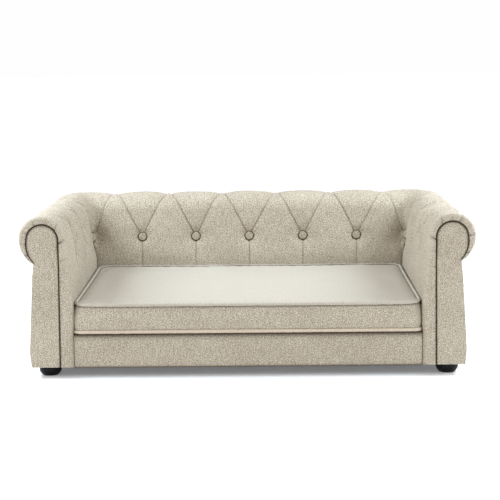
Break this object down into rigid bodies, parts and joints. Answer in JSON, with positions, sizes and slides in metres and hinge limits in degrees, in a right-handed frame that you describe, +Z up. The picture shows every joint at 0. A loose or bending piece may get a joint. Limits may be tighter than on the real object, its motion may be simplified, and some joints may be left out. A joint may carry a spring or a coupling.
{
  "type": "pet bed",
  "caption": "Low rolled-arm sofa bed for a cat or small dog, with a buttoned back and arms, a loose piped seat cushion and short round feet.",
  "frame": {"origin": "on the floor, under the middle of the sofa's outline", "axes": "+X along the width, to the right seen from the front; +Y from the open front to the back; +Z up"},
  "size_m": [1, 0.6, 0.36],
  "materials": {
    "linen": "plain weave linen, natural beige",
    "piping": "piping cord covered in linen",
    "foam": "open-cell foam, matt",
    "liner": "plain fibreboard",
    "timber": "planed pine, unfinished",
    "ply": "plywood, unfinished",
    "dust_cloth": "thin black non-woven cloth",
    "twine": "waxed twine",
    "foot_black": "satin black lacquer",
    "steel": "zinc plated",
    "zip_cloth": "woven zip tape with nylon coil",
    "zip_metal": "lacquered to match the cloth"
  },
  "bodies": {
    "frame": {"base_front_rail": "timber", "base_rear_rail": "timber", "base_rear_outer_rail": "timber", "base_inner_side_rails": "timber", "base_outer_side_rails": "timber", "base_centre_brace": "timber", "front_corner_blocks": "timber", "rear_corner_blocks": "timber", "seat_deck": "ply", "corner_posts": "timber", "top_corner_blocks": "timber", "neck_corner_blocks": "timber", "left_arm_top_rail": "timber", "right_arm_top_rail": "timber", "back_top_rail": "timber", "arm_neck_rails": "timber", "back_neck_rail": "timber", "wall_studs": "timber", "left_arm_front_board": "ply", "right_arm_front_board": "ply", "left_arm_liner": "liner", "right_arm_liner": "liner", "back_liner": "liner", "front_feet": "foot_black", "rear_feet": "foot_black", "foot_studs": "steel", "foot_inserts": "steel", "left_arm_padding": "linen", "right_arm_padding": "linen", "back_padding": "linen", "left_arm_facing": "linen", "right_arm_facing": "linen", "left_outer_panel": "linen", "right_outer_panel": "linen", "back_outer_panel": "linen", "front_rail_pad": "linen", "deck_lining": "linen", "dust_cover": "dust_cloth", "back_buttons": "linen", "corner_buttons": "linen", "arm_buttons": "linen", "button_ties": "twine"},
    "seat_cushion": {"cushion_top_panel": "linen", "cushion_bottom_panel": "linen", "cushion_boxing": "linen", "cushion_top_piping": "piping", "cushion_bottom_piping": "piping", "cushion_foam": "foam", "cushion_zip": "zip_cloth"},
    "slider": {"zip_slider": "zip_metal"},
    "pull": {"zip_pull": "zip_metal"}
  },
  "joints": [
    {"name": "cushion_lift", "type": "slide", "parent": "frame", "child": "seat_cushion", "axis": [0, 0, 1], "range_m": [0, 0.3]},
    {"name": "zip_slide", "type": "slide", "parent": "seat_cushion", "child": "slider", "axis": [-1, 0, 0], "range_m": [0, 0.568]},
    {"name": "pull_swing", "type": "hinge", "parent": "slider", "child": "pull", "pos_m": [0.28435, 0.1815, 0.13545], "axis": [0, 1, 0], "range_deg": [-90, 90]}
  ]
}
